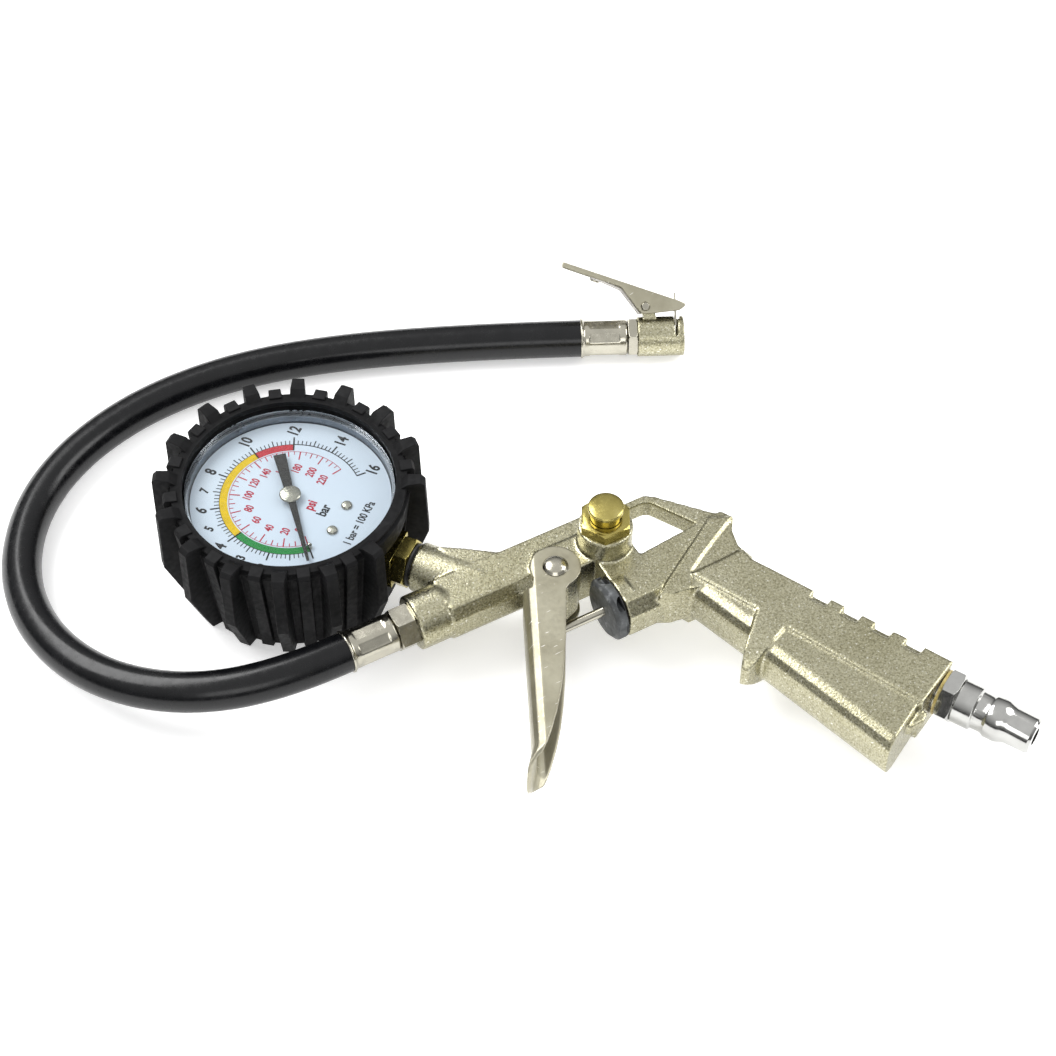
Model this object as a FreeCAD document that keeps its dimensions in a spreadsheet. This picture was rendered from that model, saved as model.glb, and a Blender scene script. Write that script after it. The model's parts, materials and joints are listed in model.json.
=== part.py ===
import FreeCAD, Part
import math
import os

import Sketcher
from FreeCAD import Placement, Rotation, Vector

# Hand-held tyre inflator: a cast gun with a pressure gauge in a rubber boot, a pull trigger that
# opens the air valve, a bleed button, an air plug at the end of the grip, and a hose with a lever
# chuck.  The gun lies on its side.  X runs along the barrel with the hose outlet towards -X, the
# grip points towards -Y, and the gauge faces +Z.  Everything is symmetric about the gun's middle
# plane unless it says otherwise.  Units are millimetres and degrees.

doc = FreeCAD.newDocument("tyre_inflator")

# ---------------------------------------------------------------- driving dimensions

DIMENSIONS = {
    # where the drawing's own datum lies in the part's frame
    "datum_x": 11.16, "datum_y": 43.41, "gun_height": 18.0,
    # gauge: the local X axis of every gauge piece points along the stem
    "gauge_x": -67.7, "gauge_y": 22.9, "stem_angle": -52.4,
    "boot_radius": 35.7, "boot_foot_radius": 31.7, "boot_top": 36.0, "boot_lip_radius": 30.6,
    "boot_floor": 2.6, "case_radius": 31.2, "case_wall": 1.0, "case_floor": 3.0,
    "lug_pitch": 22.5, "lug_width": 4.5, "small_lug_width": 3.9,
    "dial_height": 28.9, "dial_thick": 0.6, "dial_radius": 29.9,
    "glass_height": 32.4, "glass_thick": 1.7,
    "stem_shank": 4.85, "stem_flats": 12.4, "nut_across": 14.0,
    "nut_start": 35.5, "nut_end": 39.6, "neck_start": 41.3, "neck_radius": 7.5,
    "tube_bend": 21.0, "tube_wide": 2.4, "tube_high": 8.0,
    "gear_module": 0.3, "pinion_teeth": 10, "sector_teeth": 80, "sector_place": 230.0,
    "link_arm": 5.0, "link_arm_angle": 160.0, "link_tip_radius": 21.0, "link_tip_angle": -110.0,
    # barrel and outlet
    "barrel_y": -27.7, "collar_start": -53.9, "collar_radius": 8.4, "barrel_bore": 3.5,
    "outlet_hex": 12.0, "outlet_hex_start": -59.9, "ferrule_radius": 5.85, "flare_radius": 6.5,
    # trigger valve
    "valve_y": -50.7, "valve_bore": 6.0, "valve_end": 25.0, "gland_start": -3.0,
    "gland_radius": 9.5, "pin_radius": 1.4, "pin_tip": -27.15,
    "pivot_x": -11.0, "pivot_y": -36.4, "ear_radius": 7.5, "rivet_radius": 2.0,
    "ear_inside": 9.1, "sheet_thick": 1.2, "spine_angle": -115.94, "tip_angle": -129.6,
    # bleed button
    "boss_x": 7.2, "boss_y": -33.7, "boss_radius": 8.15, "boss_top": 15.9, "bleed_hex": 14.0,
    # air plug
    "plug_x": 67.45, "plug_y": -122.96, "plug_angle": -60.8, "plug_hex": 14.0,
    # hose and chuck: in the chuck's frame X runs out of the mouth and Z points at the lever
    "hose_radius": 6.0, "hose_bore": 3.25, "chuck_x": 79.918, "chuck_y": 41.669, "chuck_height": 6.75,
    "chuck_yaw": -26.6, "chuck_roll": -47.0, "chuck_body": 6.4, "chuck_bore": 4.15,
    "chuck_mouth_end": 0.6, "chuck_pin_x": -11.7, "chuck_pin_z": 9.75,
}

# Closed outlines, corner by corner.  The plan outlines lie in the gun's middle plane.
OUTLINES = {
    "barrel_section": [(5.95, 7.4), (8.2, 3.5), (8.2, -3.5), (5.95, -7.4),
                       (-5.95, -7.4), (-8.2, -3.5), (-8.2, 3.5), (-5.95, 7.4)],
    "neck_web": [(-36.8, -10.8), (-30.5, -15.0), (-19.5, -23.2), (-19.5, -27.7), (-30.0, -27.7)],
    "web": [(-13.0, -27.7), (-16.8, -31.5), (-17.2, -35.0), (-15.5, -41.2), (-10.8, -43.4), (-6.4, -41.6),
            (-4.2, -38.8), (1.2, -38.8), (1.2, -46.0), (14.0, -46.0), (13.6, -27.7)],
    "hanger": [(7.0, -24.0), (26.0, -24.0), (28.6, -25.8), (42.0, -41.0), (34.6, -41.5),
               (26.2, -27.2), (24.6, -26.4), (14.5, -26.4), (14.5, -31.0), (7.0, -31.0)],
    "tube_section": [(5.6, 8.2), (9.0, 3.8), (9.0, -3.8), (5.6, -8.2),
                     (-5.6, -8.2), (-9.0, -3.8), (-9.0, 3.8), (-5.6, 8.2)],
    "tube_tail": [(13.0, -42.9), (43.0, -40.2), (45.2, -44.0), (42.2, -48.4), (40.8, -54.0),
                  (42.2, -59.6), (41.0, -61.5), (20.0, -61.5), (17.5, -56.0)],
    "tube_rib": [(10.6, -58.8), (38.6, -41.4), (44.6, -44.2), (35.4, -49.0), (30.2, -51.8),
                 (23.4, -55.8), (20.0, -61.5), (14.0, -60.6)],
    "grip_plate": [(23.2, -57.0), (33.0, -77.0), (36.7, -86.2), (55.6, -127.4), (71.4, -119.8),
                   (41.2, -60.6), (40.8, -56.4)],
    "hook": [(33.0, -77.0), (22.4, -86.7), (19.6, -89.9), (21.0, -91.5), (23.6, -91.4),
             (26.4, -90.4), (36.7, -86.2)],
    "hook_taper": [(-12.0, 9.0), (2.0, 9.0), (6.0, 7.8), (9.0, 5.6), (11.8, 2.6), (11.8, -2.6),
                   (9.0, -5.6), (6.0, -7.8), (2.0, -9.0), (-12.0, -9.0)],
    "grip_front": [(0.0, 3.0), (0.6, 5.2), (2.0, 7.2), (4.2, 8.2), (22.0, 8.2), (22.0, -8.2),
                   (4.2, -8.2), (2.0, -7.2), (0.6, -5.2), (0.0, -3.0)],
    "grip_bar": [(10.0, -58.0), (10.0, -92.0), (30.0, -133.0), (36.6, -133.0), (39.8, -134.8),
                 (54.9, -126.6), (58.4, -125.4), (40.0, -70.0), (34.0, -57.0)],
    "grip_end": [(46.0, -127.0), (55.0, -122.0), (57.2, -128.4), (55.2, -130.2), (50.2, -130.6)],
    "trigger_plan": [(-23.5, -37.4), (-20.4, -39.4), (-18.4, -36.4), (-11.0, -36.4),
                     (-5.3, -41.2), (-11.9, -44.7), (-20.6, -59.8), (-26.1, -68.5),
                     (-30.6, -74.9), (-35.0, -80.4), (-40.0, -85.9), (-42.8, -88.5),
                     (-47.2, -85.65)],
    "trigger_tip": [(-47.2, -85.65), (-42.8, -88.5), (-46.6, -91.5), (-50.9, -94.4),
                    (-53.2, -94.2), (-54.0, -92.4)],
    "trigger_section": [(0.0, 6.3), (0.5, 8.0), (1.7, 9.5), (3.6, 10.3), (30.0, 10.3), (30.0, 9.1),
                        (3.7, 9.1), (2.4, 8.5), (1.6, 7.5), (1.2, 6.1), (1.2, -6.1), (1.6, -7.5),
                        (2.4, -8.5), (3.7, -9.1), (30.0, -9.1), (30.0, -10.3), (3.6, -10.3),
                        (1.7, -9.5), (0.5, -8.0), (0.0, -6.3)],
    "trigger_width": [(-20.0, 12.0), (-88.4, 12.0), (-89.8, 9.9), (-91.4, 7.6), (-92.6, 4.9),
                      (-93.3, 1.8), (-93.3, -1.8), (-92.6, -4.9), (-91.4, -7.6), (-89.8, -9.9),
                      (-88.4, -12.0), (-20.0, -12.0)],
    "chuck_lug": [(-12.4, 4.0), (-12.4, 7.2), (-13.6, 8.8), (-13.9, 10.6), (-12.9, 11.9),
                  (-10.4, 11.9), (-8.9, 10.2), (-8.0, 4.0)],
    "chuck_jaw": [(-2.8, 0.0), (2.8, 0.0), (2.8, 9.6), (1.8, 10.0), (1.8, 11.6), (0.4, 13.9),
                  (-0.4, 13.9), (-1.8, 11.6), (-1.8, 10.0), (-2.8, 9.6)],
    "lever_plate": [(-38.2, 23.6), (1.0, 9.3), (1.3, 10.2), (-0.6, 11.2), (-37.9, 24.8)],
    "lever_flange": [(-38.2, 23.6), (-37.8, 23.0), (-19.6, 16.3), (-15.0, 9.9), (-13.0, 7.4),
                     (-9.8, 7.4), (-0.6, 8.2), (1.0, 9.3)],
    "lever_leaf": [(-29.4, 19.2), (-25.2, 17.7), (-19.8, 15.1), (-14.1, 7.35), (-13.3, 7.3),
                   (-13.2, 7.9), (-19.0, 16.0), (-24.8, 18.7), (-29.1, 20.27)],
}

# The hose's route from the outlet ferrule to the chuck ferrule: x, y and height of each turn.
HOSE_ROUTE = [
    (-75.3, -27.7, 18.0), (-96.0, -27.7, 18.0), (-121.5, -18.0, 15.8), (-140.5, 1.5, 12.8),
    (-149.0, 27.5, 9.8), (-145.5, 54.5, 7.6), (-130.5, 78.0, 6.4), (-107.5, 93.0, 6.2),
    (-77.0, 99.8, 6.2), (-40.0, 96.0, 6.2), (8.475, 77.445, 6.75), (50.5, 56.4, 6.75),
]
RUN_SHARE = 0.45

# Where the dial's two screws are, in the gauge's frame, and the plan angle across the finger hook.
DIAL_SCREWS = [(16.5, 4.07), (16.75, -6.15)]
HOOK_HEADING = 144.8


# ---------------------------------------------------------------- sheet and sizes

class Size:
    """A number that remembers the sheet expression that gives it."""

    def __init__(self, number, text=None):
        self.number = float(number)
        self.text = text

    def __float__(self):
        return self.number

    def _join(self, other, sign, number, swapped=False):
        other_text = other.text if isinstance(other, Size) and other.text else repr(float(other))
        own_text = self.text or repr(self.number)
        pair = (other_text, own_text) if swapped else (own_text, other_text)
        return Size(number, "(%s %s %s)" % (pair[0], sign, pair[1]))

    def __add__(self, other):
        return self._join(other, "+", self.number + float(other))

    def __radd__(self, other):
        return self._join(other, "+", self.number + float(other), True)

    def __sub__(self, other):
        return self._join(other, "-", self.number - float(other))

    def __rsub__(self, other):
        return self._join(other, "-", float(other) - self.number, True)

    def __mul__(self, other):
        return self._join(other, "*", self.number * float(other))

    def __rmul__(self, other):
        return self._join(other, "*", self.number * float(other), True)

    def __truediv__(self, other):
        return self._join(other, "/", self.number / float(other))

    def __neg__(self):
        return Size(-self.number, "(0 - %s)" % (self.text or repr(self.number)))


class Sheet:
    """The spreadsheet of driving dimensions, read back as attributes that are Sizes."""

    def __init__(self):
        self.cells = doc.addObject("Spreadsheet::Sheet", "dims")
        self.row_count = 0

    def add(self, alias, value):
        self.row_count += 1
        self.cells.set("A%d" % self.row_count, alias)
        self.cells.set("B%d" % self.row_count, str(value))
        self.cells.setAlias("B%d" % self.row_count, alias)
        setattr(self, alias, Size(value, "dims.%s" % alias))


dims = Sheet()
for alias, value in DIMENSIONS.items():
    dims.add(alias, value)
for name, outline_points in OUTLINES.items():
    for number, (first, second) in enumerate(outline_points, 1):
        dims.add("%s_corner%d_a" % (name, number), first)
        dims.add("%s_corner%d_b" % (name, number), second)
doc.recompute()


def corners(name):
    """The corners of a named outline, as pairs of Sizes."""
    count = len(OUTLINES[name])
    return [(getattr(dims, "%s_corner%d_a" % (name, number)),
             getattr(dims, "%s_corner%d_b" % (name, number))) for number in range(1, count + 1)]


def bind(thing, prop, value):
    """Set a property to a number, and tie it to the sheet when the number came from there."""
    if "." not in prop:
        setattr(thing, prop, float(value))
    if isinstance(value, Size) and value.text:
        thing.setExpression(prop, value.text)


# ---------------------------------------------------------------- sketches and features

def draw(sketch, points):
    """Draw a closed outline with every corner dimensioned from the sketch's origin."""
    ends = [Vector(float(a), float(b), 0) for a, b in points]
    sketch.addGeometry([Part.LineSegment(a, b) for a, b in zip(ends, ends[1:] + ends[:1])], False)
    rules = []
    texts = {}
    for number, point in enumerate(points):
        rules.append(Sketcher.Constraint("Coincident", (number - 1) % len(points), 2, number, 1))
        for kind, value, sketch_axis in zip(("DistanceX", "DistanceY"), point, (-2, -1)):
            if float(value) == 0:
                rules.append(Sketcher.Constraint("PointOnObject", number, 1, sketch_axis))
                continue
            if isinstance(value, Size) and value.text:
                texts[len(rules)] = value.text
            rules.append(Sketcher.Constraint(kind, number, 1, float(value)))
    sketch.addConstraint(rules)
    for rule, text in texts.items():
        sketch.setExpression("Constraints[%d]" % rule, text)


class Piece:
    """A PartDesign body that is built up from outlines on its own origin planes."""

    def __init__(self, name):
        self.body = doc.addObject("PartDesign::Body", name)
        self.body.Label = name
        self.name = name

    def sketch(self, plane, points, lift=0):
        sketch = self.body.newObject("Sketcher::SketchObject", self.name + "_outline")
        support = [one for one in self.body.Origin.OriginFeatures if one.Role == plane][0]
        sketch.AttachmentSupport = [(support, "")]
        sketch.MapMode = "FlatFace"
        sketch.AttachmentOffset = Placement(Vector(0, 0, float(lift)), Rotation())
        bind(sketch, ".AttachmentOffset.Base.z", lift)
        draw(sketch, points)
        return sketch

    def feature(self, kind, sketch, suffix):
        feature = self.body.newObject(kind, self.name + suffix)
        feature.Profile = sketch
        return feature

    def turn(self, points):
        """Revolve a profile of (radius, height) pairs about the body's Z axis."""
        sketch = self.sketch("XZ_Plane", points)
        feature = self.feature("PartDesign::Revolution", sketch, "_turned")
        feature.ReferenceAxis = (sketch, ["V_Axis"])
        feature.Angle = 360
        doc.recompute()
        return feature

    def groove(self, points):
        """Cut a revolved profile of (radius, height) pairs out of the body."""
        before = self.body.Shape.Volume
        sketch = self.sketch("XZ_Plane", points)
        feature = self.feature("PartDesign::Groove", sketch, "_groove")
        feature.ReferenceAxis = (sketch, ["V_Axis"])
        feature.Angle = 360
        self.check_cut(before)
        return feature

    def pad(self, points, length, plane="XY_Plane", lift=0, both=False):
        sketch = self.sketch(plane, points, lift)
        feature = self.feature("PartDesign::Pad", sketch, "_pad")
        bind(feature, "Length", length)
        feature.Midplane = both
        doc.recompute()
        return feature

    def pocket(self, points, length, plane="XY_Plane", lift=0, both=False, forward=False):
        """Cut an outline out of the body; forward cuts along the plane's normal."""
        before = self.body.Shape.Volume
        sketch = self.sketch(plane, points, lift)
        feature = self.feature("PartDesign::Pocket", sketch, "_pocket")
        bind(feature, "Length", length)
        feature.Midplane = both
        feature.Reversed = forward
        self.check_cut(before)
        return feature

    def around(self, feature, count, angle):
        """Repeat a feature about the body's Z axis."""
        pattern = self.body.newObject("PartDesign::PolarPattern", self.name + "_pattern")
        pattern.Originals = [feature]
        pattern.Axis = (feature.Profile[0], ["V_Axis"])
        bind(pattern, "Angle", angle)
        pattern.Occurrences = count
        self.body.Tip = pattern
        doc.recompute()
        return pattern

    def check_cut(self, before):
        doc.recompute()
        if self.body.Shape.Volume >= before - 0.001:
            raise RuntimeError("a cut in %s removed nothing" % self.name)


def slab(name, points, up, down=None):
    """Extrude a plan outline up and down from the middle plane."""
    sketch = doc.addObject("Sketcher::SketchObject", name + "_outline")
    draw(sketch, points)
    extrusion = doc.addObject("Part::Extrusion", name)
    extrusion.Base = sketch
    extrusion.DirMode = "Normal"
    extrusion.Solid = True
    bind(extrusion, "LengthFwd", up)
    bind(extrusion, "LengthRev", up if down is None else down)
    return extrusion


def bar(name, points, start, end, y):
    """Extrude a (y, z) section along X, centred on the line at the given y."""
    extrusion = slab(name, points, end - start, 0)
    move(extrusion, start, y, 0, Rotation(Vector(0, 1, 0), Vector(0, 0, 1), Vector(1, 0, 0), "ZXY"))
    return extrusion


def rod(name, radius, length):
    """A plain cylinder that stands on its own origin and rises along Z."""
    cylinder = doc.addObject("Part::Cylinder", name)
    bind(cylinder, "Radius", radius)
    bind(cylinder, "Height", length)
    return cylinder


def block(name, length, width, height):
    box = doc.addObject("Part::Box", name)
    bind(box, "Length", length)
    bind(box, "Width", width)
    bind(box, "Height", height)
    return box


def move(thing, x, y, z, rotation=Rotation()):
    """Place an object, with its position tied to the sheet."""
    thing.Placement = Placement(Vector(float(x), float(y), float(z)), rotation)
    for letter, value in zip("xyz", (x, y, z)):
        bind(thing, ".Placement.Base." + letter, value)
    return thing


def fuse(name, shapes):
    union = doc.addObject("Part::MultiFuse", name)
    union.Shapes = shapes
    union.Refine = True
    return union


def cut(name, base, tool):
    difference = doc.addObject("Part::Cut", name)
    difference.Base = base
    difference.Tool = tool
    difference.Refine = True
    return difference


def common(name, first, second):
    shared = doc.addObject("Part::Common", name)
    shared.Base = first
    shared.Tool = second
    return shared


def hexagon(across):
    """The corners of a hexagon, flats facing +Y and -Y."""
    reach = across / math.sqrt(3)
    return [(reach * round(math.cos(math.radians(60 * turn)), 9),
             reach * round(math.sin(math.radians(60 * turn)), 9)) for turn in range(6)]


def rectangle(low_a, low_b, high_a, high_b):
    return [(low_a, low_b), (high_a, low_b), (high_a, high_b), (low_a, high_b)]


def round_outline(radius, count, centre=(0, 0)):
    """A regular polygon that stands in for a small circle."""
    return [(centre[0] + radius * round(math.cos(2 * math.pi * turn / count), 9),
             centre[1] + radius * round(math.sin(2 * math.pi * turn / count), 9))
            for turn in range(count)]


# ---------------------------------------------------------------- frames

ALONG_X = Rotation(Vector(0, 1, 0), Vector(0, 0, 1), Vector(1, 0, 0), "ZXY")
ALONG_MINUS_X = Rotation(Vector(0, -1, 0), Vector(0, 0, 1), Vector(-1, 0, 0), "ZXY")
STEM_TURN = Rotation(Vector(0, 0, 1), DIMENSIONS["stem_angle"])
PLUG_TURN = Rotation(Vector(0, 0, 1), DIMENSIONS["plug_angle"])
CHUCK_TURN = (Rotation(Vector(0, 0, 1), DIMENSIONS["chuck_yaw"])
              * Rotation(Vector(1, 0, 0), DIMENSIONS["chuck_roll"]))


def heading(angle):
    """Turn a sketch upright, its normal along the given plan angle and its Y axis along Z."""
    turn = math.radians(angle)
    way = Vector(math.cos(turn), math.sin(turn), 0)
    return Rotation(Vector(-way.y, way.x, 0), Vector(0, 0, 1), way, "ZXY")


def on_gun(piece, x, y, z=0, rotation=Rotation()):
    """Place a piece from its drawing position, with z counted from the gun's middle plane."""
    thing = piece.body if isinstance(piece, Piece) else piece
    return move(thing, x + dims.datum_x, y + dims.datum_y, z + dims.gun_height, rotation)


def on_gauge(piece, z=0, rotation=Rotation()):
    """Place a piece of the gauge, with z counted from the boot's back."""
    thing = piece.body if isinstance(piece, Piece) else piece
    return move(thing, dims.gauge_x + dims.datum_x, dims.gauge_y + dims.datum_y, z,
                STEM_TURN * rotation)


def gauge_point(reach, sideways, height):
    """A point of the gauge's frame, as a place in the part's frame."""
    turned = STEM_TURN.multVec(Vector(float(reach), float(sideways), 0))
    return (dims.gauge_x + dims.datum_x + turned.x, dims.gauge_y + dims.datum_y + turned.y, height)


def on_stem(piece, reach):
    """Place a turned piece on the gauge stem, its axis pointing out of the gauge."""
    x, y, z = gauge_point(reach, 0, dims.gun_height)
    return move(piece.body, x, y, z, STEM_TURN * ALONG_X)


def on_chuck(piece, x=0, y=0, z=0, rotation=Rotation()):
    """Place a piece of the chuck from its position in the chuck's frame."""
    thing = piece.body if isinstance(piece, Piece) else piece
    turned = CHUCK_TURN.multVec(Vector(float(x), float(y), float(z)))
    return move(thing, dims.chuck_x + dims.datum_x + turned.x,
                dims.chuck_y + dims.datum_y + turned.y, dims.chuck_height + turned.z,
                CHUCK_TURN * rotation)


nodes = []


def keep(piece):
    """Add a finished sub-part to the list that is written out."""
    thing = piece.body if isinstance(piece, Piece) else piece
    nodes.append(thing)
    return thing


# ---------------------------------------------------------------- gun body

def gun_body():
    """The die-cast gun: neck, barrel, web, boss, hanger loop, valve tube and grip in one piece."""
    low = dims.boss_top
    solids = [
        bar("barrel", corners("barrel_section"), dims.collar_start + 10, Size(9.0), dims.barrel_y),
        move(rod("collar", dims.collar_radius, 9.6), dims.collar_start, dims.barrel_y, 0, ALONG_X),
        slab("neck_web", corners("neck_web"), 7.2),
        slab("web", corners("web"), 8.2),
        slab("hanger", corners("hanger"), 8.0, -1.5),
        bar("valve_tube", corners("tube_section"), Size(1.0), Size(26.0), dims.valve_y),
        slab("tube_tail", corners("tube_tail"), 8.2),
        slab("tube_rib", corners("tube_rib"), 9.0, 5.5),
        slab("grip_plate", corners("grip_plate"), 9.0),
        grip_front(),
        finger_hook(),
        slab("grip_end", corners("grip_end"), 4.6, -0.6),
    ]
    taper = doc.addObject("Part::Cone", "collar_taper")
    bind(taper, "Radius1", dims.collar_radius)
    bind(taper, "Radius2", 7.0)
    bind(taper, "Height", 3.4)
    solids.append(move(taper, dims.collar_start + 9.6, dims.barrel_y, 0, ALONG_X))
    boss = rod("boss", dims.boss_radius, low + 8.8)
    solids.append(move(boss, dims.boss_x, dims.boss_y, -8.8))
    throat = rod("tube_throat", 9.0, 4.0)
    solids.append(move(throat, 1.0, dims.valve_y, 0, ALONG_X))

    turned = STEM_TURN.multVec(Vector(DIMENSIONS["neck_start"], 0, 0))
    neck_place = (dims.gauge_x + turned.x, dims.gauge_y + turned.y, 0, STEM_TURN * ALONG_X)
    solids.append(move(rod("neck", dims.neck_radius, 21.0), *neck_place))

    hollows = [
        move(rod("neck_thread", 4.9, 8.7), *neck_place),
        move(rod("neck_passage", 2.2, 22.0), *neck_place),
        move(rod("barrel_thread", 4.9, 10.0), dims.collar_start, dims.barrel_y, 0, ALONG_X),
        move(rod("barrel_passage", dims.barrel_bore, 58.0), dims.collar_start, dims.barrel_y, 0,
             ALONG_X),
        move(rod("bleed_bore", 4.2, low + 5.0), dims.boss_x, dims.boss_y, -5.0),
        move(rod("cross_passage", 2.5, 17.0), dims.boss_x, dims.valve_y, 0,
             Rotation(Vector(1, 0, 0), -90)),
        move(rod("valve_bore", dims.valve_bore, dims.valve_end - 0.5), 0.5, dims.valve_y, 0,
             ALONG_X),
        move(rod("rivet_hole", dims.rivet_radius + 0.05, 20.0), dims.pivot_x, dims.pivot_y, -10),
    ]
    hollows.append(move(rod("plug_thread_bore", 6.0, 10.6), dims.plug_x, dims.plug_y, 0,
                        PLUG_TURN * ALONG_MINUS_X))
    spot = PLUG_TURN.multVec(Vector(-0.95, 0, 0))
    hollows.append(move(rod("plug_spot_face", 8.2, 3.0), dims.plug_x + spot.x,
                        dims.plug_y + spot.y, 0, PLUG_TURN * ALONG_X))
    passage = Vector(23.6, -50.7, 0) - Vector(DIMENSIONS["plug_x"], DIMENSIONS["plug_y"], 0)
    hollows.append(move(rod("grip_passage", 3.2, passage.Length), dims.plug_x, dims.plug_y, 0,
                        Rotation(Vector(0, 0, 1), passage)))
    hollows.extend(grip_notches())
    gun = cut("gun_body", fuse("gun_solids", solids), fuse("gun_hollows", hollows))
    on_gun(gun, 0, 0, 0)
    return keep(gun)


def grip_front():
    """The grip's rounded front edge, in two straight runs that step where the finger hook is."""
    upper = slab("grip_front_upper", corners("grip_front"), 30.0, 0)
    move(upper, 18.7, -56.7, 0, heading(-72.8))
    lower = slab("grip_front_lower", corners("grip_front"), 52.0, 0)
    move(lower, 25.1, -85.96, 0, heading(-73.65))
    runs = fuse("grip_front_runs", [upper, lower])
    return common("grip_front_edge", runs, slab("grip_bar", corners("grip_bar"), 9.0))


def finger_hook():
    """The hook in front of the grip that keeps the hand in place; it thins towards its tip."""
    taper = slab("hook_taper", corners("hook_taper"), 25.0)
    move(taper, 27.0, -82.0, 0, heading(HOOK_HEADING))
    return common("finger_hook", slab("hook", corners("hook"), 9.0), taper)


def grip_notches():
    """Four finger notches in the grip's back edge, with a shallow shelf on both faces."""
    start = Vector(50.8, -79.6, 0)
    pitch = 10.2
    direction = Vector(45.2, -88.9, 0).normalize()
    turn = Rotation(Vector(1, 0, 0), direction)
    cuts = []
    for number in range(4):
        corner = start + direction * (pitch * number)
        deep = block("notch_%d" % number, 5.4, 8.0, 18.4)
        inset = corner + turn.multVec(Vector(0, -1.3, -9.2))
        cuts.append(move(deep, inset.x, inset.y, inset.z, turn))
        for side, height in (("upper", 8.0), ("lower", -9.4)):
            shelf = block("notch_%s_%d" % (side, number), 5.4, 8.0, 1.4)
            inset = corner + turn.multVec(Vector(0, -3.0, height))
            cuts.append(move(shelf, inset.x, inset.y, inset.z, turn))
    return cuts


# ---------------------------------------------------------------- gauge

def gauge_boot():
    """The rubber boot: a ring with big and small lugs in turn, open where the stem comes out."""
    boot = Piece("gauge_boot")
    floor = dims.boot_floor
    boot.turn([
        (0, 0), (dims.boot_foot_radius, 0), (dims.boot_radius, dims.boot_top - 1.4),
        (dims.boot_radius - 0.9, dims.boot_top - 1.2), (dims.boot_radius - 0.9, dims.boot_top),
        (dims.boot_lip_radius, dims.boot_top), (dims.boot_lip_radius, dims.boot_top - 1.7),
        (dims.case_radius + 0.1, dims.boot_top - 1.7), (dims.case_radius + 0.1, 8.0),
        (dims.case_radius - 2.4, floor), (0, floor),
    ])
    lug = boot.pad([
        (31.0, 0), (34.7, 0), (40.3, 17.0), (39.4, 36.8), (38.4, 38.0), (35.2, 37.6),
        (33.0, 36.0), (33.0, 20.0),
    ], dims.lug_width, "XZ_Plane", 0, True)
    lug_feature(boot, lug, 1, 15)
    small = boot.pad([
        (31.0, 0), (32.9, 0), (37.0, 35.4), (36.4, 36.6), (33.0, 36.6), (33.0, 20.0),
    ], dims.small_lug_width, "XZ_Plane", 0, True)
    lug_feature(boot, small, 1.5, 14)
    boot.pocket(rectangle(24.0, -8.2, 46.0, 8.2), 17.6, "XY_Plane", 9.5, False, True)
    on_gauge(boot)
    return keep(boot)


def lug_feature(boot, lug, first_step, count):
    """Turn a lug to its first place beside the stem and repeat it round the ring."""
    sketch = lug.Profile[0]
    step = dims.lug_pitch * first_step
    sketch.AttachmentOffset = Placement(Vector(), Rotation(Vector(0, 1, 0), float(step)))
    doc.recompute()
    boot.around(lug, count, dims.lug_pitch * (count - 1))


def gauge_case():
    """The pressed steel case with a round hole for the stem's shank."""
    case = Piece("gauge_case")
    outer = dims.case_radius
    inner = outer - dims.case_wall
    case.turn([
        (0, dims.case_floor), (outer - 2.6, dims.case_floor), (outer, 8.4),
        (outer, dims.glass_height - 0.1), (inner, dims.glass_height - 0.1), (inner, 9.0),
        (outer - 3.4, dims.case_floor + 1.0), (0, dims.case_floor + 1.0),
    ])
    case.pocket(round_outline(5.3, 24, (0, dims.gun_height)), 14.0, "YZ_Plane", 24.0, False, True)
    on_gauge(case)
    return keep(case)


def gauge_face():
    """Dial plate, its two screws, the zero stop, and the clear glass over them."""
    dial = Piece("dial_plate")
    dial.turn([(1.4, 0), (dims.dial_radius, 0), (dims.dial_radius, dims.dial_thick),
               (1.4, dims.dial_thick)])
    for place in DIAL_SCREWS:
        dial.pocket(round_outline(0.85, 20, place), 4.0, "XY_Plane", -1.0, False, True)
    on_gauge(dial, dims.dial_height)
    keep(dial)

    screw = [(0, -3.4), (0.8, -3.4), (0.8, dims.dial_thick + 0.02), (1.65, dims.dial_thick + 0.02),
             (1.65, dims.dial_thick + 0.5), (1.3, dims.dial_thick + 0.95),
             (0, dims.dial_thick + 1.1)]
    screws = []
    for number, place in enumerate(DIAL_SCREWS):
        one = Piece("dial_screw_%d" % number)
        one.turn(screw)
        x, y, z = gauge_point(place[0], place[1], dims.dial_height)
        screws.append(move(one.body, x, y, z))
    keep(fuse("dial_screws", screws))

    stop = Piece("pointer_stop")
    stop.turn([(0, 0), (0.7, 0), (0.7, 1.6), (0.4, 2.0), (0, 2.1)])
    x, y, z = gauge_point(13.6, -14.5, dims.dial_height + dims.dial_thick)
    move(stop.body, x, y, z)
    keep(stop)

    glass = Piece("gauge_glass")
    glass.turn([(0, 0), (dims.case_radius, 0), (dims.case_radius, dims.glass_thick - 0.2),
                (dims.boot_lip_radius - 0.1, dims.glass_thick), (0, dims.glass_thick + 0.4)])
    on_gauge(glass, dims.glass_height)
    keep(glass)


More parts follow.
